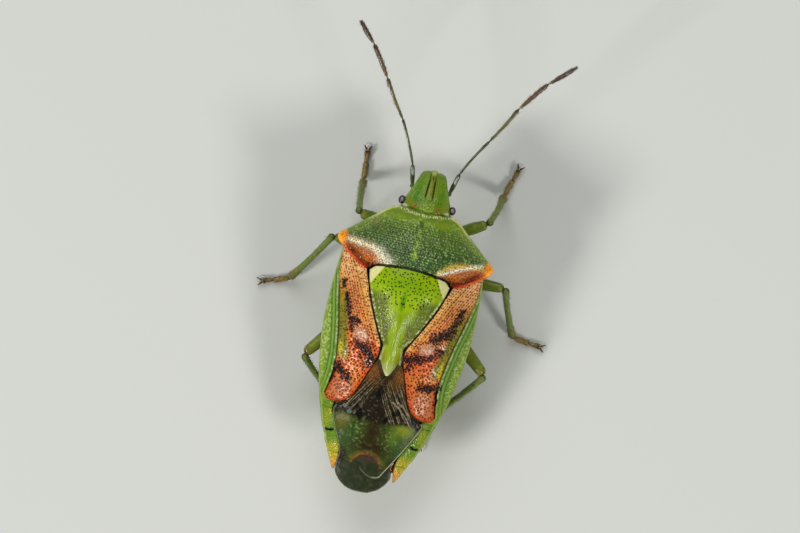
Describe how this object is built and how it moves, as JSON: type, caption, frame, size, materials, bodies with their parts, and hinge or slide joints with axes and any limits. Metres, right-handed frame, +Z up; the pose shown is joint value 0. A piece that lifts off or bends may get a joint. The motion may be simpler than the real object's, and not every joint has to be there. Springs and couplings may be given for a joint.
{
  "type": "shield bug",
  "caption": "Life-size still model of a green and orange juniper shield bug standing on its feet, wings folded, feelers forward.",
  "frame": {"origin": "middle of the footprint, on the surface that the feet stand on", "axes": "+X the bug's right side, +Y forward towards the head, +Z up"},
  "size_m": [0.0091, 0.0141, 0.004],
  "materials": {
    "pronotum": "glossy green horn with fine pits, orange shoulders",
    "scutellum": "glossy yellow-green horn with dark pits and cream corners",
    "corium": "orange-red leathery wing with dark pits and a green outer strip",
    "membrane": "thin smoky translucent wing membrane",
    "rim": "yellow-green edge of the abdomen with dark marks",
    "head": "green pitted horn",
    "eye": "dark purplish faceted eye, glossy",
    "feeler": "dark greenish to brown, finely haired",
    "leg": "green glossy horn with short hairs",
    "foot": "brownish, haired, with dark claws",
    "underside": "pale yellow-green horn"
  },
  "bodies": {
    "root": {"abdomen": "underside", "antenna_left_1": "feeler", "antenna_left_2": "feeler", "antenna_left_3": "feeler", "antenna_left_4": "feeler", "antenna_left_5": "feeler", "antenna_right_1": "feeler", "antenna_right_2": "feeler", "antenna_right_3": "feeler", "antenna_right_4": "feeler", "antenna_right_5": "feeler", "connexivum_left": "rim", "connexivum_right": "rim", "corium_left": "corium", "corium_right": "corium", "coxa_left_front": "leg", "coxa_left_hind": "leg", "coxa_left_middle": "leg", "coxa_right_front": "leg", "coxa_right_hind": "leg", "coxa_right_middle": "leg", "eye_left": "eye", "eye_right": "eye", "femur_left_front": "leg", "femur_left_hind": "leg", "femur_left_middle": "leg", "femur_right_front": "leg", "femur_right_hind": "leg", "femur_right_middle": "leg", "head": "head", "membrane_end": "membrane", "membrane_left": "membrane", "membrane_right": "membrane", "pronotum": "pronotum", "rostrum": "leg", "scutellum": "scutellum", "tarsus_left_front": "foot", "tarsus_left_hind": "foot", "tarsus_left_middle": "foot", "tarsus_right_front": "foot", "tarsus_right_hind": "foot", "tarsus_right_middle": "foot", "thorax": "underside", "tibia_left_front": "leg", "tibia_left_hind": "leg", "tibia_left_middle": "leg", "tibia_right_front": "leg", "tibia_right_hind": "leg", "tibia_right_middle": "leg"}
  },
  "joints": []
}
